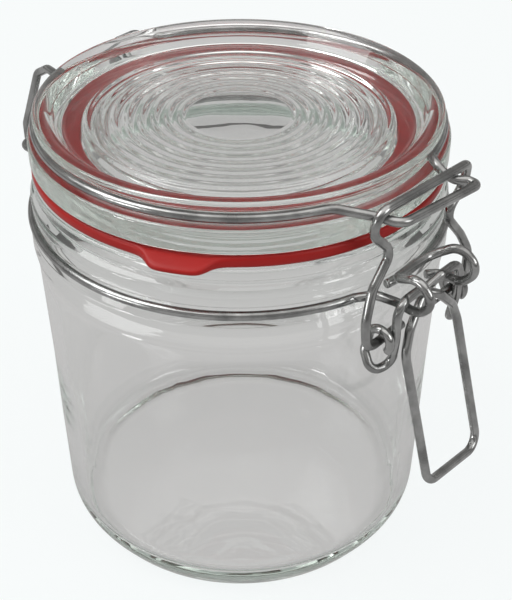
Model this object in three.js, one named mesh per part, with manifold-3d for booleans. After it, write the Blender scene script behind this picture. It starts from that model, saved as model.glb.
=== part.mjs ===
// A wide clip top jar: a clear glass jar, a glass lid with a rubber seal, and the bent wires that
// hinge the lid at the back and clamp it down at the front.
//
// Millimetres, +Z up. The jar's axis is the Z axis and its underside is at z = 0.
// The latch is towards +X and the hinge towards -X, so every joint turns about a line along Y.

import * as THREE from 'three';
import { mergeVertices } from 'three/addons/utils/BufferGeometryUtils.js';
import Module from 'manifold-3d';

const wasm = await Module();
wasm.setup();

// Glass jar
const HEEL_RADIUS = 7;
const FOOT_WALL = 54.2;
const SHOULDER_RADIUS = 57;
const BAND_RADIUS = 56.25;
const NECK_GROOVE_RADIUS = 54.7;
const FINISH_RADIUS = 55.3;
const MOUTH_RADIUS = 44.6;
const RIM_TOP = 114;
const FLOOR_TOP = 5.8;
const GLASS_SIDES = 48;

// Glass lid
const LID_UNDERSIDE = 118;
const LID_RADIUS = 55.4;
const LID_GROOVE_RADIUS = 51.6;
const LID_RIM_RADIUS = 53.5;
const LID_TOP = 130.7;
const LID_FLOOR = 126;
const DISC_RADIUS = 13.5;
const RIPPLE_PITCH = 3.5;
const RIPPLE_COUNT = 8;
const RIPPLE_HEIGHT = 0.42;
const COLLAR_RADIUS = 40.8;
const COLLAR_BOTTOM = 115.4;
const LID_CEILING = 120;

// Rubber seal
const SEAL_OUTER = 55.2;
const SEAL_INNER = 41.6;
const SEAL_BOTTOM = 114.3;
const SEAL_TOP = 117.7;
const TAB_TURN = -62;
const TAB_WIDTH = 15;
const TAB_REACH = 59.2;
const TAB_ROOT = 53;
const TAB_CORNER = 3;
const TAB_THICKNESS = 2;
const TAB_DROOP = 14;

// Wires
const WIRE_RADIUS = 1.2;
const WIRE_SIDES = 8;
const HOOP_STEPS = 48;
const BEND_STEP = 24;
const EYE_STEP = 22.5;
const NECK_HOOP = 56.3;
const NECK_Z = 101.7;
const LID_HOOP = 53.2;
const LID_WIRE_Z = 126.8;

// Hinge at the back
const HINGE_X = -67;
const HINGE_BAR_HALF = 22;
const HINGE_EYE_Y = 17.5;
const HINGE_EYE_RADIUS = 2.7;

// Latch at the front
const PIVOT_X = 63.5;
const PIVOT_Z = 102;
const LOOP_Y = 9;
const LOOP_LOW = 98.6;
const PIN_X = 60.7;
const PIN_Z = 91.6;
const PIN_CORNER_Y = 20.9;
const PIN_END_Y = 6.5;
const LEVER_EYE_Y = 15.7;
const LEVER_EYE_RADIUS = 3.2;
const INNER_ARM_Y = 13.1;
const OUTER_ARM_Y = 18.4;
const U_BOTTOM_Z = 83.2;
const HANDLE_X = 76;
const NOSE_Z = 124.7;
const LINK_BAR_Z = 127.5;

const materials = {
  glass: new THREE.MeshStandardMaterial({ color: 0xd9e2de, roughness: 0.05, metalness: 0, transparent: true,
    opacity: 0.4 }),
  lidGlass: new THREE.MeshStandardMaterial({ color: 0xdde4e0, roughness: 0.06, metalness: 0, transparent: true,
    opacity: 0.4 }),
  rubber: new THREE.MeshStandardMaterial({ color: 0xb01e1c, roughness: 0.5, metalness: 0 }),
  neckSteel: new THREE.MeshStandardMaterial({ color: 0x8f9191, roughness: 0.3, metalness: 1 }),
  lidSteel: new THREE.MeshStandardMaterial({ color: 0x8d8f8f, roughness: 0.3, metalness: 1 }),
  leverSteel: new THREE.MeshStandardMaterial({ color: 0x939595, roughness: 0.28, metalness: 1 }),
  linkSteel: new THREE.MeshStandardMaterial({ color: 0x919393, roughness: 0.28, metalness: 1 }),
};

const radians = THREE.MathUtils.degToRad;

function toSolid(geometry) {
  const bare = geometry.clone();
  bare.deleteAttribute('normal');
  bare.deleteAttribute('uv');
  const merged = mergeVertices(bare, 1e-4);
  return new wasm.Manifold(new wasm.Mesh({
    numProp: 3,
    vertProperties: new Float32Array(merged.attributes.position.array),
    triVerts: new Uint32Array(merged.index.array),
  }));
}

function toGeometry(solid) {
  const mesh = solid.getMesh();
  const geometry = new THREE.BufferGeometry();
  geometry.setAttribute('position', new THREE.BufferAttribute(mesh.vertProperties, 3));
  geometry.setIndex(new THREE.BufferAttribute(mesh.triVerts, 1));
  geometry.computeVertexNormals();
  return geometry;
}

// A turned shape from [radius, height] pairs that run up the outside and down the inside.
function turned(profile) {
  const points = profile.map(([radius, height]) => new THREE.Vector2(radius, height));
  return new THREE.LatheGeometry(points, GLASS_SIDES).rotateX(Math.PI / 2);
}

// Points of a round stretch of a profile, about a centre, from one angle to another.
function roundStretch(centreR, centreZ, radius, fromDegrees, toDegrees, steps) {
  const points = [];
  for (let i = 0; i <= steps; i += 1) {
    const angle = radians(fromDegrees + ((toDegrees - fromDegrees) * i) / steps);
    points.push([centreR + radius * Math.cos(angle), centreZ + radius * Math.sin(angle)]);
  }
  return points;
}

// The centre line of a bent wire, one point for each section of the wire.
class WirePath extends THREE.Curve {
  constructor(points) {
    super();
    this.points = points;
  }

  getPointAt(u, target = new THREE.Vector3()) {
    return target.copy(this.points[Math.round(u * (this.points.length - 1))]);
  }

  getTangentAt(u, target = new THREE.Vector3()) {
    const last = this.points.length - 1;
    const i = Math.round(u * last);
    const before = this.points[Math.max(i - 1, 0)];
    const here = this.points[i];
    const after = this.points[Math.min(i + 1, last)];
    const incoming = here.clone().sub(before).normalize();
    const outgoing = after.clone().sub(here).normalize();
    return target.copy(incoming.add(outgoing)).normalize();
  }
}

function wire(points) {
  const section = new THREE.Shape();
  for (let i = 0; i < WIRE_SIDES; i += 1) {
    const angle = (2 * Math.PI * (i + 0.5)) / WIRE_SIDES;
    const x = WIRE_RADIUS * Math.cos(angle);
    const y = WIRE_RADIUS * Math.sin(angle);
    if (i === 0) section.moveTo(x, y);
    else section.lineTo(x, y);
  }
  section.closePath();
  return new THREE.ExtrudeGeometry(section, {
    steps: points.length - 1,
    extrudePath: new WirePath(points),
    bevelEnabled: false,
  });
}

// A corner of a wire: where its straight runs would meet, and the bend's radius there.
function corner(x, y, z, radius = 3) {
  return { at: new THREE.Vector3(x, y, z), radius };
}

// The centre line through a list of corners, each one rounded by an arc of its own radius.
function bent(corners) {
  const line = [];
  corners.forEach(({ at, radius }, i) => {
    if (i === 0 || i === corners.length - 1 || radius === 0) {
      line.push(at);
      return;
    }
    const back = corners[i - 1].at.clone().sub(at);
    const ahead = corners[i + 1].at.clone().sub(at);
    const turn = Math.PI - back.angleTo(ahead);
    const room = 0.48 * Math.min(back.length(), ahead.length());
    const setback = Math.min(radius * Math.tan(turn / 2), room);
    const start = at.clone().addScaledVector(back.normalize(), setback);
    const end = at.clone().addScaledVector(ahead.normalize(), setback);
    const arcRadius = setback / Math.tan(turn / 2);
    const inward = back.add(ahead).normalize();
    const centre = at.clone().addScaledVector(inward, Math.hypot(arcRadius, setback));
    const steps = Math.max(1, Math.ceil(THREE.MathUtils.radToDeg(turn) / BEND_STEP));
    const spokes = [start.sub(centre), end.sub(centre)];
    for (let k = 0; k <= steps; k += 1) {
      const weights = [Math.sin(turn * (1 - k / steps)), Math.sin(turn * (k / steps))];
      const spoke = spokes[0].clone().multiplyScalar(weights[0]).addScaledVector(spokes[1], weights[1]);
      line.push(centre.clone().add(spoke.divideScalar(Math.sin(turn))));
    }
  });
  return line;
}

// A stretch of a level hoop about the jar's axis, as corners that need no rounding.
function hoop(radius, height, fromDegrees, toDegrees) {
  const steps = Math.ceil((HOOP_STEPS * Math.abs(toDegrees - fromDegrees)) / 360);
  const corners = [];
  for (let i = 0; i <= steps; i += 1) {
    const angle = radians(fromDegrees + ((toDegrees - fromDegrees) * i) / steps);
    corners.push(corner(radius * Math.cos(angle), radius * Math.sin(angle), height, 0));
  }
  return corners;
}

// A ring about a line along Y, run from the first angle to the last, which grows from +X to +Z.
function eye(x, y, z, radius, first, last) {
  const corners = [];
  const steps = Math.round(Math.abs(last - first) / EYE_STEP);
  for (let i = 0; i <= steps; i += 1) {
    const angle = radians(first + ((last - first) * i) / steps);
    corners.push(corner(x + radius * Math.cos(angle), y, z + radius * Math.sin(angle), 0));
  }
  return corners;
}

function glassJar() {
  const outside = [
    [0, 0],
    ...roundStretch(FOOT_WALL - HEEL_RADIUS, HEEL_RADIUS, HEEL_RADIUS, -90, 0, 5),
    [54.5, 20],
    [54.8, 33],
    [55.1, 57],
    [55.9, 83],
    [56.1, 88],
    [SHOULDER_RADIUS, 94.6],
    [SHOULDER_RADIUS, 97.4],
    [55.5, 99.3],
    [NECK_GROOVE_RADIUS, 100.4],
    [NECK_GROOVE_RADIUS, 102.8],
    [55.8, 103.7],
    [BAND_RADIUS, 105],
    [BAND_RADIUS, 107.2],
    [55.5, 108.6],
    [54.2, 109.3],
    [54.4, 110.2],
    [FINISH_RADIUS, 111],
    [FINISH_RADIUS, 113.2],
    [54.5, RIM_TOP],
  ];
  const inside = [
    [MOUTH_RADIUS + 0.7, RIM_TOP],
    [MOUTH_RADIUS, 113.3],
    [MOUTH_RADIUS, 101],
    [47.6, 95.5],
    [51.6, 88],
    [51.2, 50],
    [50.4, 14],
    ...roundStretch(44, FLOOR_TOP + 6.4, 6.4, 0, -90, 4),
    [0, FLOOR_TOP],
  ];
  return turned([...outside, ...inside]);
}

function glassLid() {
  const underside = [
    [0, LID_CEILING],
    [COLLAR_RADIUS - 5.4, LID_CEILING],
    [COLLAR_RADIUS - 4, LID_CEILING - 1],
    [COLLAR_RADIUS - 3, COLLAR_BOTTOM],
    [COLLAR_RADIUS - 0.8, COLLAR_BOTTOM],
    [COLLAR_RADIUS, 116.2],
    [COLLAR_RADIUS, LID_UNDERSIDE],
    [54.9, LID_UNDERSIDE],
  ];
  const edge = [
    [LID_RADIUS, 118.5],
    [LID_RADIUS, 122.6],
    [54.8, 124.1],
    [53, 124.8],
    [LID_GROOVE_RADIUS, 125.2],
    [LID_GROOVE_RADIUS, 128],
    [LID_RIM_RADIUS, 128.7],
    [LID_RIM_RADIUS, 129.9],
    [52.4, LID_TOP],
    [50.4, LID_TOP],
    [48.8, 129.6],
    [46.4, 126.6],
    [45.4, LID_FLOOR],
  ];
  const ripples = [];
  for (let i = 0; i <= RIPPLE_COUNT * 2; i += 1) {
    const radius = DISC_RADIUS + ((RIPPLE_COUNT * 2 - i) * RIPPLE_PITCH) / 2;
    ripples.push([radius, LID_FLOOR + (i % 2) * RIPPLE_HEIGHT]);
  }
  return turned([...underside, ...edge, ...ripples, [0, LID_FLOOR]]);
}

function sealTab() {
  const half = TAB_WIDTH / 2;
  const outline = new THREE.Shape();
  outline.moveTo(TAB_ROOT, -half);
  outline.lineTo(TAB_REACH - TAB_CORNER, -half);
  outline.absarc(TAB_REACH - TAB_CORNER, -half + TAB_CORNER, TAB_CORNER, -Math.PI / 2, 0, false);
  outline.absarc(TAB_REACH - TAB_CORNER, half - TAB_CORNER, TAB_CORNER, 0, Math.PI / 2, false);
  outline.lineTo(TAB_ROOT, half);
  outline.closePath();
  const tab = new THREE.ExtrudeGeometry(outline, { depth: TAB_THICKNESS, bevelEnabled: false, curveSegments: 3 });
  const root = TAB_ROOT + 1;
  tab.translate(-root, 0, -TAB_THICKNESS / 2).rotateY(radians(TAB_DROOP));
  return tab.translate(root, 0, (SEAL_BOTTOM + SEAL_TOP) / 2).rotateZ(radians(TAB_TURN));
}

function seal() {
  const ring = turned([
    [SEAL_INNER + 0.4, SEAL_BOTTOM],
    [SEAL_OUTER - 0.5, SEAL_BOTTOM],
    [SEAL_OUTER, SEAL_BOTTOM + 0.8],
    [SEAL_OUTER, SEAL_TOP - 0.8],
    [SEAL_OUTER - 0.5, SEAL_TOP],
    [SEAL_INNER + 0.4, SEAL_TOP],
    [SEAL_INNER, SEAL_TOP - 0.5],
    [SEAL_INNER, SEAL_BOTTOM + 0.5],
    [SEAL_INNER + 0.4, SEAL_BOTTOM],
  ]);
  return toGeometry(toSolid(ring).add(toSolid(sealTab())));
}

// The wire round the neck: from a cut end behind the left loop, round the jar with a step out for
// the hinge bar, then the left loop, the bar across the glass and the right loop.
function neckWire() {
  const hingeLeave = 26;
  const loopLeave = 18;
  const corners = [
    ...hoop(NECK_HOOP, NECK_Z, -7.8, 180 - hingeLeave),
    corner(-58, HINGE_BAR_HALF + 0.6, NECK_Z, 5),
    corner(HINGE_X, HINGE_BAR_HALF, NECK_Z, 3),
    corner(HINGE_X, -HINGE_BAR_HALF, NECK_Z, 3),
    corner(-58, -HINGE_BAR_HALF - 0.6, NECK_Z, 5),
    ...hoop(NECK_HOOP, NECK_Z, 180 + hingeLeave, 360 - loopLeave),
    corner(57.4, -14.2, 102.8, 4),
    corner(61.3, -LOOP_Y - 0.2, LOOP_LOW + 0.9, 5),
    corner(66.6, -LOOP_Y, LOOP_LOW, 4.5),
    corner(70.8, -LOOP_Y, 103.4, 4.2),
    corner(66.2, -LOOP_Y + 0.3, 108.4, 4.5),
    corner(59.2, -LOOP_Y + 0.4, 105.6, 1.6),
    corner(58.9, 0, 105.4, 0),
    corner(59.6, 6.2, 105.6, 5),
    corner(65.6, LOOP_Y, 109.2, 4.5),
    corner(71.6, LOOP_Y + 0.2, 104.4, 4.5),
    corner(66.8, LOOP_Y + 0.1, LOOP_LOW, 4.5),
    corner(61.2, LOOP_Y - 0.8, LOOP_LOW + 0.9, 4),
    corner(58.9, 4.6, 99.9, 0),
  ];
  return wire(bent(corners));
}

// The way up from a hinge eye to the lid's groove, on the side of the given sign.
function hingeLeg(side) {
  return [
    ...eye(HINGE_X, side * HINGE_EYE_Y, NECK_Z, HINGE_EYE_RADIUS, 180, 450).reverse(),
    corner(HINGE_X - HINGE_EYE_RADIUS, side * HINGE_EYE_Y, 106, 3),
    corner(-65, side * 15, 122.5, 3),
    corner(-58, side * 16.6, 126.6, 4),
  ];
}

// The wire round the lid: an eye on the hinge bar at each end, and the nose that the link holds.
// The nose runs out straight on the left and ends in a tight turn on the right.
function lidWire() {
  const corners = [
    ...hingeLeg(-1),
    ...hoop(LID_HOOP, LID_WIRE_Z, 200, 332),
    corner(49, -21.4, LID_WIRE_Z, 8),
    corner(57.6, -14.6, NOSE_Z + 0.1, 6),
    corner(62.6, -13, NOSE_Z - 0.3, 6),
    corner(65, 14.3, NOSE_Z - 0.8, 1.4),
    corner(62.2, 14.5, NOSE_Z - 0.8, 1.4),
    corner(60, 12.2, NOSE_Z - 0.5, 3),
    corner(57.4, 11.6, NOSE_Z + 0.2, 4),
    corner(54.2, 11.9, 126.4, 3),
    ...hoop(LID_HOOP, LID_WIRE_Z, 15, 160),
    ...hingeLeg(1).reverse(),
  ];
  return wire(bent(corners));
}

// The lever, one wire. From a cut end it curls round the link's pin as an eye, drops into a U,
// rises, turns in through the neck wire's loop on the pivot line, crosses to the other side and
// becomes the handle's leg.
function leverSide(side, crossing, handleCorner) {
  return [
    ...eye(PIN_X, side * LEVER_EYE_Y, PIN_Z, LEVER_EYE_RADIUS, -40, 180),
    corner(57.6, side * 17.4, 88, 3),
    corner(60.6, side * OUTER_ARM_Y, U_BOTTOM_Z, 3),
    corner(62.4, side * (INNER_ARM_Y - 1), U_BOTTOM_Z, 3),
    corner(63.6, side * INNER_ARM_Y, 92, 8),
    corner(PIVOT_X, side * INNER_ARM_Y, PIVOT_Z, 4.5),
    corner(PIVOT_X, side * 4.6, PIVOT_Z, 2),
    ...crossing,
    handleCorner,
  ];
}

function lever() {
  const toRight = [corner(66.4, 0, 100, 6), corner(65.6, 8, 92.4, 5), corner(65.9, 10.8, 86.4, 6)];
  const toLeft = [corner(62.3, 0, 99.8, 6), corner(64.3, -8.2, 92.6, 5), corner(65.4, -10.9, 86.8, 10)];
  const front = leverSide(-1, toRight, corner(HANDLE_X, 12.6, 47.4, 4.4));
  const back = leverSide(1, toLeft, corner(HANDLE_X, -10.9, 49.9, 3.6));
  return wire(bent([...front, ...back.reverse()]));
}

// The link: two pins in the lever's eyes, legs that pinch in below the lid, and the bar on the nose.
function link() {
  const corners = [
    corner(PIN_X, -PIN_END_Y, PIN_Z, 0),
    corner(PIN_X, -PIN_CORNER_Y, PIN_Z, 3.4),
    corner(60.4, -21.6, 99.5, 8),
    corner(59.4, -18.4, 107.2, 8),
    corner(59.3, -11.5, 115.2, 3.5),
    corner(57.9, -18, 121.6, 4.5),
    corner(58.9, -16.6, LINK_BAR_Z, 3.4),
    corner(60.1, 16.6, LINK_BAR_Z - 0.5, 2),
    corner(58.8, 18.3, 120.6, 4),
    corner(59.2, 10.6, 114.6, 3.5),
    corner(59.4, 18.4, 105.6, 8),
    corner(60.4, 21.6, 99.5, 8),
    corner(PIN_X, PIN_CORNER_Y, PIN_Z, 3.4),
    corner(PIN_X, PIN_END_Y, PIN_Z, 0),
  ];
  return wire(bent(corners));
}

function named(name, geometry, material) {
  const mesh = new THREE.Mesh(geometry, material);
  mesh.name = name;
  return mesh;
}

const jar = new THREE.Group();
jar.add(
  named('glass_jar', glassJar(), materials.glass),
  named('neck_wire', neckWire(), materials.neckSteel),
  named('glass_lid', glassLid(), materials.lidGlass),
  named('seal', seal(), materials.rubber),
  named('lid_wire', lidWire(), materials.lidSteel),
  named('lever', lever(), materials.leverSteel),
  named('link', link(), materials.linkSteel),
);

export default jar;
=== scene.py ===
"""A wide clip top jar of clear pressed glass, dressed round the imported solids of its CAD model.

Every length below is in millimetres, unless its comment says metres, and is turned into metres where
a mesh is made. The jar's axis is the Z axis, its underside is at zero height, the latch is towards +X
and the hinge towards -X.
"""

import math

import bpy
import numpy as np
from bpy.props import FloatProperty, FloatVectorProperty, PointerProperty
from mathutils import Matrix, Vector


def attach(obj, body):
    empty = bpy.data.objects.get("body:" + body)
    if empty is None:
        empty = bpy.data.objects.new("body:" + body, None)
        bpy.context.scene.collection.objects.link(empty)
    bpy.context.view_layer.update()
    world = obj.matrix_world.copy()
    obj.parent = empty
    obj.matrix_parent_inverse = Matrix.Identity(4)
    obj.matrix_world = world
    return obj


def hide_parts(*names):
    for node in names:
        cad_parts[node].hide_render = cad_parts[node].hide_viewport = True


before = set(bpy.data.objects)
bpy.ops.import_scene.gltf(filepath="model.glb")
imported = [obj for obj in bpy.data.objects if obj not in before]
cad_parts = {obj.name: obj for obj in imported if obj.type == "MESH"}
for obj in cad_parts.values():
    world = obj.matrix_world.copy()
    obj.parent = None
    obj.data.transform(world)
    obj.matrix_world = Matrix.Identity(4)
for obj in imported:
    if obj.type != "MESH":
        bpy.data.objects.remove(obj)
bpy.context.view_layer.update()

bl_info = {
    "name": "Clip top jar",
    "version": (1, 0, 0),
    "blender": (4, 5, 0),
    "location": "View3D > Sidebar > Jar",
    "description": "Clear glass jar with a hinged glass lid, a rubber seal and bent wire clasps",
    "category": "Object",
}

# Metres and centimetres in a millimetre
MM = 0.001
CM = 0.1

# Rounding: the share of a straight run that one corner's arc may take, and the turn, in radians,
# below which a corner is left as it is. A profile starts on the axis if its radius is below the last
ARC_SHARE = 0.49
STRAIGHT = 1e-3
ON_AXIS = 1e-6

# Heights and radii of the turned glass, as in the solids
WALL = 54.2
SHOULDER = 57.0
BAND = 56.25
NECK_GROOVE = 54.7
FINISH = 55.3
MOUTH = 44.6
RIM_TOP = 114.0
FLOOR = 5.8
LID_RADIUS = 55.4
LID_GROOVE = 51.6
LID_RIM = 53.5
LID_TOP = 130.7
LID_FLOOR = 126.0
LID_BASE = 118.0
COLLAR = 40.8
DISC = 13.5

# The rings pressed into the lid: their distance, their number, the power that narrows their crests
# and the points across one
RIPPLE_PITCH = 3.5
RIPPLE_COUNT = 8
RIPPLE_SHARPNESS = 1.6
RIPPLE_STEPS = 14

# The mould seam: its angle and half width in degrees, its start, the length over which it grows to
# its full height, its end, the radius inside which there is none, and the radius it grows over
SEAM_AT = 298.0
SEAM_WIDTH = 0.35
SEAM_FROM = 14.0
SEAM_GROWS = 10.0
SEAM_TOP = 110.0
SEAM_INSIDE = 52.6
SEAM_EDGE = 0.5

# The seal: its section as radius, height and rounding, and its middle height
SEAL_SECTION = ((41.6, 114.3, 0.6), (55.2, 114.3, 1.2), (55.2, 117.7, 1.2), (41.6, 117.7, 0.6))
SEAL_MIDDLE = 116.0

# The seal's tab: its angle, half width, how square it is, its reach and sag, the share it is thinned
# by, the radius along which its width is measured, and the radii over which it grows and thins
TAB_AT = -62.0
TAB_HALF = 7.6
TAB_SQUARENESS = 7
TAB_OUT = 4.0
TAB_DROP = 1.0
TAB_THINNED = 0.42
TAB_RADIUS = 56.0
TAB_GROWS = (52.0, 55.2)
TAB_THINS = (52.8, 54.3)

# How many sides the turned pieces and the wires have, and the longest step along a wire
JAR_SIDES = 288
LID_SIDES = 240
SEAL_SIDES = 480
WIRE_SIDES = 20
WIRE_STEP = 1.5

# A wire's cut end: how deep its bevel is and how wide its face, as shares of the wire's radius
BEVEL_DEPTH = 0.18
BEVEL_FACE = 0.82

# The hinge line, the lever's pivot line and the link's pins, as x and z
HINGE = (-67.0, 101.7)
PIVOT = (63.5, 102.0)
PIN = (60.7, 91.6)

# The wires' level runs round the neck and the lid, as radius and height
NECK_HOOP = (56.3, 101.7)
LID_HOOP = (53.2, 126.8)

# The lid wire's hinge eyes and its nose
HINGE_EYE = 2.7
HINGE_EYE_Y = 17.5
NOSE_Z = 124.7

# The neck wire's loops, by their distance from the middle and their lowest height
LOOP_Y = 9.0
LOOP_LOW = 98.6

# The lever's eyes, arms and U bends
LEVER_EYE = 3.2
LEVER_EYE_Y = 15.7
INNER_ARM_Y = 13.1
OUTER_ARM_Y = 18.4
U_BOTTOM_Z = 83.2

# The link's bar, and the corner and the cut end of its pins
LINK_BAR_Z = 127.5
PIN_CORNER_Y = 20.9
PIN_END_Y = 6.5

# The glass: its refraction, how fast its tint grows per metre, and how strong its waves are
GLASS_IOR = 1.5
GLASS_DENSITY = 32.0
JAR_WAVES = 0.16
LID_WAVES = 0.15

# The camera, as solved from the outlines in the photograph, with its roll in degrees
CAMERA_AT = (188.29, -201.91, 265.12)
CAMERA_LOOK = (-0.54323, 0.60184, -0.58540)
CAMERA_ROLL = 0.126
CAMERA_LENS = 69.78
SENSOR = 36.0
NEAREST_SEEN_M = 0.01

# The floor: its gap below the jar, and the share of its light that is its own, seen straight and
# through the glass. Through the glass its own light follows a ramp by the distance from the axis,
# which ends at a reach given in metres. The ramp paints light and shade onto the floor: a brighter
# pool of light beneath the jar and a painted contact shadow, a darker ring round its foot
FLOOR_GAP = 0.05
FLOOR_LIGHT = 1.0
FLOOR_SHARE = 0.9
FLOOR_SHARE_IN_GLASS = 0.85
FLOOR_PAINTED_POOL_AND_SHADOW = ((0.0, 0.62), (0.36, 0.60), (0.45, 0.44), (0.56, 0.50), (1.0, 0.52))
FLOOR_REACH_M = 0.12
FLOOR_HUE = (0.965, 0.995, 0.995)
FLOOR_HUE_IN_GLASS = (1.0, 0.985, 0.98)

# The sky: its brightness by the sine of the height, and its hue. The camera sees the floor's hue
SKY_STRENGTH = 1.6
SKY_HUE = (1.0, 0.98, 0.965)
SKY = (
    (0.0, 0.06), (0.12, 0.09), (0.2, 0.36), (0.34, 0.40), (0.46, 0.13), (0.66, 0.18), (0.82, 0.78),
    (1.0, 0.95))

# The lamps: name, place and width in metres, and power in watts. They all face one point
LAMPS = (
    ("key", (-0.45, -0.5, 0.9), 0.7, 5.0),
    ("side", (0.9, 0.2, 0.6), 0.5, 2.5),
    ("strip", (-0.25, -0.95, 0.22), 0.22, 1.6))
LAMPS_FACE_M = (0.0, 0.0, 0.07)
LIGHT_BOUNCES = 32


class JarSizes(bpy.types.PropertyGroup):
    """Sizes of the made pieces that may be changed"""

    wire_radius: FloatProperty(
        name="Wire radius", description="Half the thickness of the wire", default=1.2 * MM, min=0.5 * MM,
        unit="LENGTH")
    ripple_height: FloatProperty(
        name="Ring height", description="Height of the rings pressed into the lid", default=0.42 * MM,
        unit="LENGTH")
    seam_height: FloatProperty(
        name="Seam height", description="How far the mould seam stands out", default=0.2 * MM, unit="LENGTH")
    floor_size: FloatProperty(
        name="Floor size", description="Width of the floor", default=12.0, unit="LENGTH")


class JarFinish(bpy.types.PropertyGroup):
    """Colours of the jar"""

    glass_tint: FloatVectorProperty(
        name="Glass tint", description="Colour of the glass in its thick parts", subtype="COLOR",
        default=(0.92, 0.955, 0.935))
    rubber_colour: FloatVectorProperty(
        name="Rubber colour", description="Colour of the seal", subtype="COLOR", default=(0.37, 0.008, 0.006))
    steel_colour: FloatVectorProperty(
        name="Steel colour", description="Colour of the drawn wire", subtype="COLOR",
        default=(0.41, 0.415, 0.41))
    floor_colour: FloatVectorProperty(
        name="Floor colour", description="Colour of the floor", subtype="COLOR", default=(0.62, 0.62, 0.62))


# Curves and outlines

def rounded(corners, step=6.0, closed=False):
    """Points along straight runs between corners, each corner rounded by an arc.

    A corner is its coordinates and, last, the arc's radius. With the half turn a, the arc starts
    r tan(a) before the corner, and its centre lies r / cos(a) along the bisector.
    """
    data = np.array([c[:-1] for c in corners], float)
    radii = [c[-1] for c in corners]
    count = len(data)
    line = []
    for i in range(count):
        if radii[i] <= 0 or (not closed and i in (0, count - 1)):
            line.append(data[i][None, :])
            continue
        back = data[i - 1] - data[i]
        ahead = data[(i + 1) % count] - data[i]
        room = ARC_SHARE * min(np.linalg.norm(back), np.linalg.norm(ahead))
        back = back / np.linalg.norm(back)
        ahead = ahead / np.linalg.norm(ahead)
        half = 0.5 * (math.pi - math.acos(max(-1.0, min(1.0, float(back @ ahead)))))
        if half < STRAIGHT:
            line.append(data[i][None, :])
            continue
        setback = min(radii[i] * math.tan(half), room)
        radius = setback / math.tan(half)
        bisector = (back + ahead) / np.linalg.norm(back + ahead)
        centre = data[i] + bisector * radius / math.cos(half)
        first = data[i] + back * setback - centre
        last = data[i] + ahead * setback - centre
        steps = max(2, int(math.ceil(math.degrees(2 * half) / step)))
        t = np.linspace(0.0, 1.0, steps + 1)[:, None] * 2 * half
        line.append(centre + (first * np.sin(2 * half - t) + last * np.sin(t)) / math.sin(2 * half))
    return np.concatenate(line)


def resampled(points, spacing):
    """The same line with extra points, so that no step is longer than the spacing."""
    steps = np.linalg.norm(np.diff(points, axis=0), axis=1)
    pieces = []
    for a, b, length in zip(points[:-1], points[1:], steps):
        count = max(1, int(math.ceil(length / spacing)))
        t = np.linspace(0.0, 1.0, count, endpoint=False)[:, None]
        pieces.append(a + (b - a) * t)
    pieces.append(points[-1:])
    return np.concatenate(pieces)


def hoop(radius, height, start, end, step=2.0):
    """Points of a level circle about the axis: (r cos a, r sin a, z), a from start to end degrees."""
    count = max(2, int(math.ceil(abs(end - start) / step)))
    angle = np.radians(np.linspace(start, end, count + 1))
    return [(radius * math.cos(a), radius * math.sin(a), height, 0) for a in angle]


def eye(x, y, z, radius, first=180.0, last=450.0, step=8.0):
    """An arc about a line along Y, from the first angle to the last, which grows from +X to +Z."""
    angle = np.radians(np.linspace(first, last, int(abs(last - first) / step) + 1))
    return [(x + radius * math.cos(a), y, z + radius * math.sin(a), 0) for a in angle]


# Meshes

def new_mesh(name, vertices, faces, uv=None):
    """An object at the origin from vertices in millimetres and faces, smooth all over."""
    mesh = bpy.data.meshes.new(name)
    mesh.from_pydata((np.asarray(vertices) * MM).tolist(), [], [list(map(int, f)) for f in faces])
    mesh.polygons.foreach_set("use_smooth", np.ones(len(mesh.polygons), bool))
    if uv is not None:
        layer = mesh.uv_layers.new(name="Length")
        loops = np.zeros(len(mesh.loops), np.int32)
        mesh.loops.foreach_get("vertex_index", loops)
        layer.data.foreach_set("uv", uv[loops].astype(np.float32).ravel())
    mesh.update()
    piece = bpy.data.objects.new(name, mesh)
    bpy.context.scene.collection.objects.link(piece)
    return piece


def grid_faces(rows, columns, close_rows=False):
    """Quads of a grid whose columns close on themselves: (i, j), (i, j+1), (i+1, j+1), (i+1, j)."""
    i = np.arange(rows if close_rows else rows - 1)[:, None]
    j = np.arange(columns)[None, :]
    i2 = (i + 1) % rows
    j2 = (j + 1) % columns
    a, b, c, d = np.broadcast_arrays(
        i * columns + j, i2 * columns + j, i2 * columns + j2, i * columns + j2)
    return np.stack([a, d, c, b], axis=-1).reshape(-1, 4)


def turned(name, profile, sides, bulge=None):
    """A surface turned about the axis: (r cos a, r sin a, z) for each profile point and angle a.

    A profile that starts and ends on the axis gets one vertex at each pole, and any other closes
    on itself. bulge(r, z, a) gives an addition to the radius.
    """
    profile = np.asarray(profile, float)
    angle = np.linspace(0.0, 2 * math.pi, sides, endpoint=False)
    on_axis = profile[0, 0] < ON_AXIS
    body = profile[1:-1] if on_axis else profile
    r = body[:, 0][:, None] + np.zeros(sides)[None, :]
    z = body[:, 1][:, None] + np.zeros(sides)[None, :]
    if bulge is not None:
        r = r + bulge(r, z, angle[None, :])
    vertices = np.stack([r * np.cos(angle), r * np.sin(angle), z], axis=-1).reshape(-1, 3)
    faces = grid_faces(len(body), sides, close_rows=not on_axis).tolist()
    if on_axis:
        first, last = len(vertices), len(vertices) + 1
        vertices = np.concatenate([vertices, [[0, 0, profile[0, 1]], [0, 0, profile[-1, 1]]]])
        j = np.arange(sides)
        nxt = (j + 1) % sides
        top = (len(body) - 1) * sides
        faces += np.stack([np.full(sides, first), nxt, j], axis=-1).tolist()
        faces += np.stack([np.full(sides, last), top + j, top + nxt], axis=-1).tolist()
    return new_mesh(name, vertices, faces)


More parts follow.
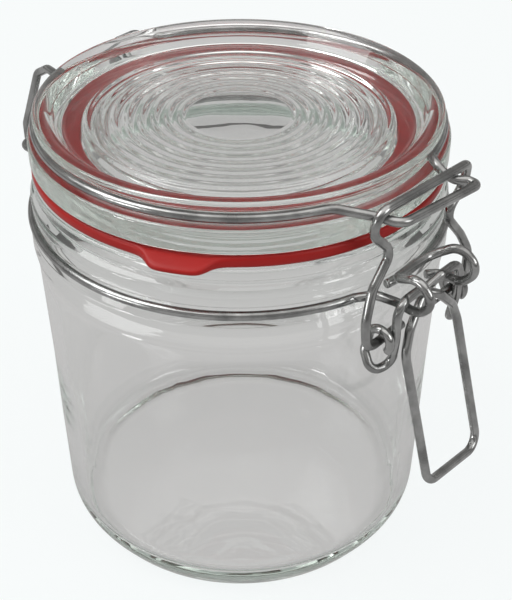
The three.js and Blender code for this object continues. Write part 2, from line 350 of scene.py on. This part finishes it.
def swept(name, line, radius, sides=WIRE_SIDES):
    """A round wire: circles of the radius carried along a line without twisting.

    Each circle lies across the mean of the steps before and after it. Its first direction is the
    last one's, with the part along the wire taken away. The cut ends are flat, with a small bevel.
    U of the surface's UV is the length along the wire in centimetres, and V the turn round it.
    """
    step = np.diff(line, axis=0)
    step /= np.linalg.norm(step, axis=1)[:, None]
    tangent = np.concatenate([step[:1], step[:-1] + step[1:], step[-1:]])
    tangent /= np.linalg.norm(tangent, axis=1)[:, None]
    seed = np.eye(3)[int(np.argmin(np.abs(tangent[0])))]
    normals = []
    for t in tangent:
        seed = seed - t * float(seed @ t)
        seed = seed / np.linalg.norm(seed)
        normals.append(seed)
    normal = np.array(normals)
    across = np.cross(tangent, normal)
    bevel = BEVEL_DEPTH * radius
    centres = np.concatenate([
        line[:1], line[:1] + tangent[:1] * bevel, line[1:-1], line[-1:] - tangent[-1:] * bevel,
        line[-1:]])
    scale = np.concatenate([[BEVEL_FACE], np.ones(len(line)), [BEVEL_FACE]])
    rows = np.concatenate([[0, 0], np.arange(1, len(line) - 1), [len(line) - 1, len(line) - 1]])
    angle = np.linspace(0.0, 2 * math.pi, sides, endpoint=False)
    ring = (normal[rows][:, None, :] * np.cos(angle)[None, :, None]
            + across[rows][:, None, :] * np.sin(angle)[None, :, None])
    vertices = centres[:, None, :] + ring * (radius * scale)[:, None, None]
    count = len(centres)
    faces = grid_faces(count, sides).tolist()
    vertices = np.concatenate([vertices.reshape(-1, 3), line[:1], line[-1:]])
    first, last = count * sides, count * sides + 1
    j = np.arange(sides)
    nxt = (j + 1) % sides
    base = (count - 1) * sides
    faces += np.stack([np.full(sides, first), nxt, j], axis=-1).tolist()
    faces += np.stack([np.full(sides, last), base + j, base + nxt], axis=-1).tolist()
    length = np.concatenate([[0.0], np.cumsum(np.linalg.norm(np.diff(line, axis=0), axis=1))])[rows]
    uv = np.zeros((len(vertices), 2))
    uv[:count * sides, 0] = np.repeat(length, sides) * CM
    uv[:count * sides, 1] = np.tile(j / sides, count)
    uv[last, 0] = length[-1] * CM
    return new_mesh(name, vertices, faces, uv)


def finish_piece(piece, body, nodes, material):
    """The piece gets its material, moves with its body and stands for its solids."""
    piece.data.materials.clear()
    piece.data.materials.append(material)
    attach(piece, body)
    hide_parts(*nodes)


# Materials, with noise scales per metre of the piece and bump distances in metres

def new_material(name):
    """A node material, its node tree and its Principled shader."""
    material = bpy.data.materials.new(name)
    material.use_nodes = True
    tree = material.node_tree
    return material, tree, tree.nodes["Principled BSDF"]


def node(tree, kind, **values):
    """A shader node with its inputs or properties set by name."""
    made = tree.nodes.new(kind)
    for key, value in values.items():
        if key in made.inputs:
            made.inputs[key].default_value = value
        else:
            setattr(made, key, value)
    return made


def connect(tree, *pairs):
    """Link sockets in pairs: each pair is a node and its output, then a node and its input."""
    for source, output, target, entry in pairs:
        tree.links.new(source.outputs[output], target.inputs[entry])


def colour_ramp(tree, *stops):
    """A colour ramp with these stops, each a position and a colour as red, green and blue."""
    made = node(tree, "ShaderNodeValToRGB")
    ramp = made.color_ramp
    ramp.elements.remove(ramp.elements[1])
    for i, (position, colour) in enumerate(stops):
        stop = ramp.elements.new(position) if i else ramp.elements[0]
        stop.position = position
        stop.color = (*colour, 1.0)
    return made


def colour_mix(tree, factor, **colours):
    """Mix the colours A and B by a factor's socket, and return the socket of the mixed colour.

    Each colour is a socket, or else red, green and blue.
    """
    made = node(tree, "ShaderNodeMix", data_type="RGBA")
    sockets = {socket.name: socket for socket in made.inputs if socket.enabled}
    tree.links.new(factor, made.inputs[0])
    for name, colour in colours.items():
        if isinstance(colour, tuple):
            sockets[name].default_value = (*colour, 1.0)
        else:
            tree.links.new(colour, sockets[name])
    return next(socket for socket in made.outputs if socket.enabled)


def glass_material(name, tint, strength):
    """Clear pressed glass: faint waves from the mould and a green tint that grows with depth."""
    material, tree, shader = new_material(name)
    shader.inputs["Base Color"].default_value = (1.0, 1.0, 1.0, 1.0)
    shader.inputs["Roughness"].default_value = 0.0
    shader.inputs["IOR"].default_value = GLASS_IOR
    shader.inputs["Transmission Weight"].default_value = 1.0
    place = node(tree, "ShaderNodeTexCoord")
    waves = node(tree, "ShaderNodeTexNoise", Scale=55.0, Detail=2.0)
    bump = node(tree, "ShaderNodeBump", Strength=strength, Distance=0.0004)
    volume = node(tree, "ShaderNodeVolumeAbsorption", Density=GLASS_DENSITY, Color=(*tint, 1.0))
    connect(
        tree,
        (place, "Object", waves, "Vector"),
        (waves, "Fac", bump, "Height"),
        (bump, "Normal", shader, "Normal"),
        (volume, "Volume", tree.nodes["Material Output"], "Volume"))
    return material


def rubber_material(colour):
    """Moulded rubber: red, a little uneven, with a soft sheen and a fine grain."""
    material, tree, shader = new_material("Red rubber")
    place = node(tree, "ShaderNodeTexCoord")
    cloud = node(tree, "ShaderNodeTexNoise", Scale=60.0, Detail=4.0)
    tone = colour_ramp(tree, (0.3, [c * 0.86 for c in colour]), (0.75, colour))
    grain = node(tree, "ShaderNodeTexNoise", Scale=1800.0, Detail=2.0)
    bump = node(tree, "ShaderNodeBump", Strength=0.12, Distance=0.0001)
    connect(
        tree,
        (place, "Object", cloud, "Vector"),
        (place, "Object", grain, "Vector"),
        (cloud, "Fac", tone, "Fac"),
        (tone, "Color", shader, "Base Color"),
        (grain, "Fac", bump, "Height"),
        (bump, "Normal", shader, "Normal"))
    shader.inputs["Roughness"].default_value = 0.42
    shader.inputs["Specular IOR Level"].default_value = 0.3
    return material


def steel_material(colour):
    """Drawn steel wire: grey, with fine lengthwise draw lines and darker, duller patches."""
    material, tree, shader = new_material("Drawn steel")
    shader.inputs["Metallic"].default_value = 1.0
    place = node(tree, "ShaderNodeTexCoord")
    stretch = node(tree, "ShaderNodeMapping", Scale=(1.4, 26.0, 1.0))
    lines = node(tree, "ShaderNodeTexNoise", Scale=4.0, Detail=4.0)
    patches = node(tree, "ShaderNodeTexNoise", Scale=160.0, Detail=5.0)
    tone = colour_ramp(tree, (0.34, [c * 0.55 for c in colour]), (0.62, colour))
    gloss = node(tree, "ShaderNodeMapRange", **{
        "From Min": 0.3, "From Max": 0.7, "To Min": 0.28, "To Max": 0.15})
    bump = node(tree, "ShaderNodeBump", Strength=0.25, Distance=0.00006)
    connect(
        tree,
        (place, "UV", stretch, "Vector"),
        (stretch, "Vector", lines, "Vector"),
        (place, "Object", patches, "Vector"),
        (patches, "Fac", tone, "Fac"),
        (tone, "Color", shader, "Base Color"),
        (patches, "Fac", gloss, "Value"),
        (gloss, "Result", shader, "Roughness"),
        (lines, "Fac", bump, "Height"),
        (bump, "Normal", shader, "Normal"))
    return material


# The pieces

def jar_profile():
    """The jar's outline, up the outside from the axis and down the inside back to it."""
    outside = [
        (0, 2.2, 0), (24, 2.0, 60), (44.6, 0.9, 9), (47.6, 0, 1.6), (50, 0, 1.6), (WALL, 6.6, 8),
        (54.5, 20, 60), (54.8, 33, 60), (55.1, 57, 60), (55.9, 83, 60), (56.1, 89, 20), (SHOULDER, 94.2, 3),
        (SHOULDER, 98.2, 1.2), (NECK_GROOVE, 100.4, 1.2), (NECK_GROOVE, 103.1, 0.7), (BAND, 103.9, 1),
        (BAND, 108.2, 1.4), (54.1, 109.4, 0.8), (54.3, 110.4, 0.5), (FINISH, 111, 0.8),
        (FINISH, RIM_TOP, 1.1), (MOUTH, RIM_TOP, 1.1)]
    inside = [
        (MOUTH, 101, 6), (51.7, 89.5, 10), (51.2, 50, 60), (50.4, 14, 30), (50.2, FLOOR, 9.5),
        (38, FLOOR + 0.4, 20), (0, FLOOR + 1, 0)]
    return resampled(rounded([*outside, *inside], step=10.0), spacing=2.5)


def seam(r, z, a):
    """The mould seam: height times exp(-(angle / width) squared), on the outer wall below its top."""
    height = bpy.context.scene.jar_sizes.seam_height / MM
    offset = (np.degrees(a) - SEAM_AT + 180.0) % 360.0 - 180.0
    outer = np.clip((r - SEAM_INSIDE) / SEAM_EDGE, 0, 1)
    grown = np.clip((z - SEAM_FROM) / SEAM_GROWS, 0, 1)
    below = np.clip(SEAM_TOP - z, 0, 1)
    return height * np.exp(-(offset / SEAM_WIDTH) ** 2) * outer * grown * below


def lid_profile():
    """The lid's outline, from the axis out along the underside, up the edge and over the top.

    A ring's height is h (0.5 - 0.5 cos(2 pi (r - disc) / pitch)) to the power of the sharpness.
    """
    under = [
        (0, 120, 0), (35.2, 120, 3), (37.2, 118, 1.5), (37.6, 115.3, 0.9), (COLLAR, 115.3, 1.2),
        (COLLAR, LID_BASE, 0.5), (LID_RADIUS, LID_BASE, 0.9), (LID_RADIUS, 124.5, 1.7),
        (53.2, 124.6, 1.0), (LID_GROOVE, 125.0, 0.8), (LID_GROOVE, 128.2, 0.8), (LID_RIM, 128.5, 0.6),
        (LID_RIM, LID_TOP, 1.9), (49.6, LID_TOP, 3.4), (46.2, LID_FLOOR, 2.2)]
    edge = rounded([*under, (42.6, LID_FLOOR, 0)], step=9.0)
    height = bpy.context.scene.jar_sizes.ripple_height / MM
    span = RIPPLE_COUNT * RIPPLE_PITCH
    r = np.linspace(DISC + span, DISC, RIPPLE_COUNT * RIPPLE_STEPS + 1)
    wave = (0.5 - 0.5 * np.cos(2 * math.pi * (r - DISC) / RIPPLE_PITCH)) ** RIPPLE_SHARPNESS
    ripples = np.stack([r, LID_FLOOR + height * wave], axis=-1)
    disc = np.array([[DISC * 0.5, LID_FLOOR], [0, LID_FLOOR]])
    return resampled(np.concatenate([edge, ripples, disc]), spacing=3.0)


class JAR_OT_glass_jar(bpy.types.Operator):
    """Make the glass jar, with its neck, wire groove and mould seam"""

    bl_idname = "jar.glass_jar"
    bl_label = "Glass jar"

    def execute(self, context):
        finish = context.scene.jar_finish
        piece = turned("jar_body", jar_profile(), JAR_SIDES, seam)
        glass = glass_material("Jar glass", finish.glass_tint, JAR_WAVES)
        finish_piece(piece, "jar", ["glass_jar"], glass)
        return {"FINISHED"}


class JAR_OT_glass_lid(bpy.types.Operator):
    """Make the pressed glass lid with its rings"""

    bl_idname = "jar.glass_lid"
    bl_label = "Glass lid"

    def execute(self, context):
        finish = context.scene.jar_finish
        piece = turned("lid_body", lid_profile(), LID_SIDES)
        glass = glass_material("Lid glass", finish.glass_tint, LID_WAVES)
        finish_piece(piece, "lid", ["glass_lid"], glass)
        return {"FINISHED"}


class JAR_OT_seal(bpy.types.Operator):
    """Make the rubber seal, whose outer edge runs out into a pull tab"""

    bl_idname = "jar.seal"
    bl_label = "Rubber seal"

    def execute(self, context):
        profile = resampled(rounded(SEAL_SECTION, step=15.0, closed=True), spacing=0.8)
        piece = turned("seal_ring", profile, SEAL_SIDES)
        mesh = piece.data
        co = np.zeros(len(mesh.vertices) * 3, np.float32)
        mesh.vertices.foreach_get("co", co)
        co = co.reshape(-1, 3).astype(float) / MM
        self.pull_out_tab(co)
        mesh.vertices.foreach_set("co", (co * MM).astype(np.float32).ravel())
        mesh.update()
        rubber = rubber_material(context.scene.jar_finish.rubber_colour)
        finish_piece(piece, "lid", ["seal"], rubber)
        return {"FINISHED"}

    @staticmethod
    def pull_out_tab(co):
        """Near the tab's angle the outer edge is drawn out, thinned and bent down.

        The share is 1 / (1 + (distance along the edge / half width) to a high power), which is flat in
        the middle, times how far out the point lies between two radii.
        """
        angle = np.degrees(np.arctan2(co[:, 1], co[:, 0]))
        radius = np.hypot(co[:, 0], co[:, 1])
        along = np.radians(angle - TAB_AT) * TAB_RADIUS
        flat = 1.0 / (1.0 + (np.abs(along) / TAB_HALF) ** TAB_SQUARENESS)
        reach = np.interp(radius, TAB_GROWS, (0.0, 1.0))
        push = TAB_OUT * flat * reach
        thin = 1.0 - TAB_THINNED * flat * np.interp(radius, TAB_THINS, (0.0, 1.0))
        co[:, 2] = SEAL_MIDDLE + (co[:, 2] - SEAL_MIDDLE) * thin - TAB_DROP * flat * reach ** 2
        scale = (radius + push) / radius
        co[:, 0] *= scale
        co[:, 1] *= scale


def neck_wire_line():
    """From a cut end behind the left loop, round the neck with the hinge bar, and the two loops."""
    return rounded([
        *hoop(*NECK_HOOP, -7.8, 154),
        (-58, 22.6, 101.7, 5), (HINGE[0], 22, 101.7, 3), (HINGE[0], -22, 101.7, 3), (-58, -22.6, 101.7, 5),
        *hoop(*NECK_HOOP, 206, 342),
        (57.4, -14.2, 102.8, 4), (61.3, -LOOP_Y - 0.2, LOOP_LOW + 0.9, 5), (66.6, -LOOP_Y, LOOP_LOW, 4.5),
        (70.8, -LOOP_Y, 103.4, 4.2), (66.2, -LOOP_Y + 0.3, 108.4, 4.5), (59.2, -LOOP_Y + 0.4, 105.6, 1.6),
        (58.9, 0, 105.4, 20), (59.6, 6.2, 105.6, 5), (65.6, LOOP_Y, 109.2, 4.5),
        (71.6, LOOP_Y + 0.2, 104.4, 4.5), (66.8, LOOP_Y + 0.1, LOOP_LOW, 4.5),
        (61.2, LOOP_Y - 0.8, LOOP_LOW + 0.9, 4), (58.9, 4.6, 99.9, 0)])


def hinge_leg(side):
    """From a hinge eye up to the lid's groove, on the side of the given sign."""
    return [
        *reversed(eye(HINGE[0], side * HINGE_EYE_Y, HINGE[1], HINGE_EYE)),
        (HINGE[0] - HINGE_EYE, side * HINGE_EYE_Y, 106, 3), (-65, side * 15, 122.5, 3),
        (-58, side * 16.6, 126.6, 4)]


def lid_wire_line():
    """From one hinge eye up and round the lid to the nose, and back to the other hinge eye."""
    return rounded([
        *hinge_leg(-1),
        *hoop(*LID_HOOP, 200, 332), (49, -21.4, LID_HOOP[1], 8),
        (57.6, -14.6, NOSE_Z + 0.1, 6), (62.6, -13, NOSE_Z - 0.3, 6), (65, 14.3, NOSE_Z - 0.8, 1.4),
        (62.2, 14.5, NOSE_Z - 0.8, 1.4), (60, 12.2, NOSE_Z - 0.5, 3), (57.4, 11.6, NOSE_Z + 0.2, 4),
        (54.2, 11.9, 126.4, 3), *hoop(*LID_HOOP, 15, 160),
        *reversed(hinge_leg(1))])


def lever_line():
    """The lever from cut end to cut end: eye, U, pivot, crossing, handle, and the same back."""

    def side(sign, crossing, handle_corner):
        return [
            *eye(PIN[0], sign * LEVER_EYE_Y, PIN[1], LEVER_EYE, first=-40.0, last=180.0),
            (57.6, sign * 17.4, 88.0, 3), (60.6, sign * OUTER_ARM_Y, U_BOTTOM_Z, 3),
            (62.4, sign * (INNER_ARM_Y - 1), U_BOTTOM_Z, 3), (63.6, sign * INNER_ARM_Y, 92, 8),
            (PIVOT[0], sign * INNER_ARM_Y, PIVOT[1], 4.5), (PIVOT[0], sign * 4.6, PIVOT[1], 2), *crossing,
            handle_corner]

    to_right = [(66.4, 0, 100, 6), (65.6, 8, 92.4, 5), (65.9, 10.8, 86.4, 6)]
    to_left = [(62.3, 0, 99.8, 6), (64.3, -8.2, 92.6, 5), (65.4, -10.9, 86.8, 10)]
    front = side(-1, to_right, (76, 12.6, 47.4, 4.4))
    back = side(1, to_left, (76, -10.9, 49.9, 3.6))
    return rounded([*front, *reversed(back)])


def link_line():
    """The link from one pin's cut end, up a leg that pinches in, along its bar, and down again."""
    return rounded([
        (PIN[0], -PIN_END_Y, PIN[1], 0), (PIN[0], -PIN_CORNER_Y, PIN[1], 3.4), (60.4, -21.6, 99.5, 8),
        (59.4, -18.4, 107.2, 8), (59.3, -11.5, 115.2, 3.5), (57.9, -18, 121.6, 4.5),
        (58.9, -16.6, LINK_BAR_Z, 3.4), (60.1, 16.6, LINK_BAR_Z - 0.5, 2), (58.8, 18.3, 120.6, 4),
        (59.2, 10.6, 114.6, 3.5), (59.4, 18.4, 105.6, 8), (60.4, 21.6, 99.5, 8),
        (PIN[0], PIN_CORNER_Y, PIN[1], 3.4), (PIN[0], PIN_END_Y, PIN[1], 0)])


class JAR_OT_wires(bpy.types.Operator):
    """Bend the neck wire, the lid wire, the lever and the link"""

    bl_idname = "jar.wires"
    bl_label = "Wires"

    def execute(self, context):
        radius = context.scene.jar_sizes.wire_radius / MM
        steel = steel_material(context.scene.jar_finish.steel_colour)
        wires = [
            ("neck_hoop", neck_wire_line(), "jar", "neck_wire"),
            ("lid_hoop", lid_wire_line(), "lid", "lid_wire"),
            ("clasp_lever", lever_line(), "lever", "lever"),
            ("clasp_link", link_line(), "link", "link")]
        for name, line, body, solid in wires:
            piece = swept(name, resampled(line, WIRE_STEP), radius)
            finish_piece(piece, body, [solid], steel)
        return {"FINISHED"}


class JAR_OT_stage(bpy.types.Operator):
    """Set up the floor, the soft studio light and the camera"""

    bl_idname = "jar.stage"
    bl_label = "Stage"

    def execute(self, context):
        self.floor(context)
        self.light(context)
        self.camera(context)
        return {"FINISHED"}

    @staticmethod
    def floor(context):
        """A pale floor, lit mostly by its own light so that it looks even.

        Seen straight, its own light is the same all over. Through the glass and in reflections it
        follows the ramp by the distance from the jar's axis, which paints a brighter pool of light
        beneath the jar and a darker contact shadow in a ring round its foot.
        """
        half = context.scene.jar_sizes.floor_size / 2 / MM
        piece = new_mesh(
            "floor", [(x * half, y * half, -FLOOR_GAP) for x, y in ((-1, -1), (1, -1), (1, 1), (-1, 1))],
            [(0, 1, 2, 3)])
        material, tree, shader = new_material("Floor")
        shader.inputs["Base Color"].default_value = (*context.scene.jar_finish.floor_colour, 1.0)
        shader.inputs["Roughness"].default_value = 1.0
        shader.inputs["Specular IOR Level"].default_value = 0.0
        seen = node(tree, "ShaderNodeLightPath")
        place = node(tree, "ShaderNodeTexCoord")
        away = node(tree, "ShaderNodeVectorMath", operation="LENGTH")
        reach = node(tree, "ShaderNodeMapRange", **{"From Max": FLOOR_REACH_M})
        # Painted light and shade: a brighter pool beneath the jar and a painted contact shadow ring round its
        # foot
        shade = colour_ramp(tree, *[(at, (light, light, light)) for at, light in FLOOR_PAINTED_POOL_AND_SHADOW])
        strength = node(tree, "ShaderNodeMapRange", **{"To Max": FLOOR_LIGHT})
        share = node(tree, "ShaderNodeMapRange", **{
            "To Min": FLOOR_SHARE_IN_GLASS, "To Max": FLOOR_SHARE})
        own = node(tree, "ShaderNodeEmission")
        mix = node(tree, "ShaderNodeMixShader")
        hue = colour_mix(tree, seen.outputs["Is Camera Ray"], A=FLOOR_HUE_IN_GLASS, B=FLOOR_HUE)
        tree.links.new(hue, own.inputs["Color"])
        connect(
            tree,
            (place, "Object", away, 0),
            (away, "Value", reach, "Value"),
            (reach, "Result", shade, "Fac"),
            (shade, "Color", strength, "To Min"),
            (seen, "Is Camera Ray", strength, "Value"),
            (strength, "Result", own, "Strength"),
            (seen, "Is Camera Ray", share, "Value"),
            (share, "Result", mix, "Fac"),
            (shader, "BSDF", mix, 1),
            (own, "Emission", mix, 2),
            (mix, "Shader", tree.nodes["Material Output"], "Surface"))
        piece.data.materials.append(material)

    @staticmethod
    def light(context):
        """A sky by the sine of its height, with a pale backdrop for the camera alone, and the lamps."""
        scene = context.scene
        world = bpy.data.worlds.new("Studio")
        world.use_nodes = True
        tree = world.node_tree
        background = tree.nodes["Background"]
        place = node(tree, "ShaderNodeTexCoord")
        split = node(tree, "ShaderNodeSeparateXYZ")
        sky = colour_ramp(tree, *[(at, tuple(light * c for c in SKY_HUE)) for at, light in SKY])
        seen = node(tree, "ShaderNodeLightPath")
        connect(tree, (place, "Generated", split, "Vector"), (split, "Z", sky, "Fac"))
        backdrop = tuple(c / SKY_STRENGTH for c in FLOOR_HUE)
        mixed = colour_mix(tree, seen.outputs["Is Camera Ray"], A=sky.outputs["Color"], B=backdrop)
        tree.links.new(mixed, background.inputs["Color"])
        background.inputs["Strength"].default_value = SKY_STRENGTH
        scene.world = world
        scene.view_settings.view_transform = "Standard"
        scene.view_settings.look = "None"
        scene.cycles.max_bounces = LIGHT_BOUNCES
        scene.cycles.transmission_bounces = LIGHT_BOUNCES
        scene.cycles.glossy_bounces = LIGHT_BOUNCES
        for name, at, size, power in LAMPS:
            lamp = bpy.data.lights.new(name, "AREA")
            lamp.shape = "DISK"
            lamp.size = size
            lamp.energy = power
            holder = bpy.data.objects.new(name, lamp)
            holder.location = at
            holder.rotation_euler = (Vector(LAMPS_FACE_M) - Vector(at)).to_track_quat("-Z", "Y").to_euler()
            scene.collection.objects.link(holder)

    @staticmethod
    def camera(context):
        """The camera at the photograph's place, turned by its small roll."""
        look = Vector(CAMERA_LOOK).normalized()
        level = look.cross(Vector((0, 0, 1))).normalized()
        upright = level.cross(look)
        turn = math.radians(CAMERA_ROLL)
        right = level * math.cos(turn) + upright * math.sin(turn)
        up = upright * math.cos(turn) - level * math.sin(turn)
        data = bpy.data.cameras.new("Camera")
        data.sensor_fit = "AUTO"
        data.sensor_width = SENSOR
        data.lens = CAMERA_LENS
        data.clip_start = NEAREST_SEEN_M
        holder = bpy.data.objects.new("Camera", data)
        basis = Matrix((right, up, -look)).transposed().to_4x4()
        holder.matrix_world = Matrix.Translation(Vector(CAMERA_AT) * MM) @ basis
        context.scene.collection.objects.link(holder)
        context.scene.camera = holder


PIECES = (JAR_OT_glass_jar, JAR_OT_glass_lid, JAR_OT_seal, JAR_OT_wires, JAR_OT_stage)


class JAR_PT_panel(bpy.types.Panel):
    """The jar's pieces and sizes"""

    bl_idname = "JAR_PT_panel"
    bl_label = "Clip top jar"
    bl_space_type = "VIEW_3D"
    bl_region_type = "UI"
    bl_category = "Jar"

    def draw(self, context):
        for piece in PIECES:
            self.layout.operator(piece.bl_idname)
        for group in (context.scene.jar_sizes, context.scene.jar_finish):
            for key in group.__annotations__:
                self.layout.prop(group, key)


CLASSES = (JarSizes, JarFinish, *PIECES, JAR_PT_panel)


def register():
    """Add the classes and the two groups of settings."""
    for made in CLASSES:
        bpy.utils.register_class(made)
    bpy.types.Scene.jar_sizes = PointerProperty(type=JarSizes)
    bpy.types.Scene.jar_finish = PointerProperty(type=JarFinish)


def unregister():
    """Take the settings and the classes away."""
    del bpy.types.Scene.jar_finish
    del bpy.types.Scene.jar_sizes
    for made in reversed(CLASSES):
        bpy.utils.unregister_class(made)


def main():
    """Make every piece and the stage."""
    register()
    bpy.ops.jar.stage()
    bpy.ops.jar.glass_jar()
    bpy.ops.jar.glass_lid()
    bpy.ops.jar.seal()
    bpy.ops.jar.wires()


if __name__ == "__main__":
    main()
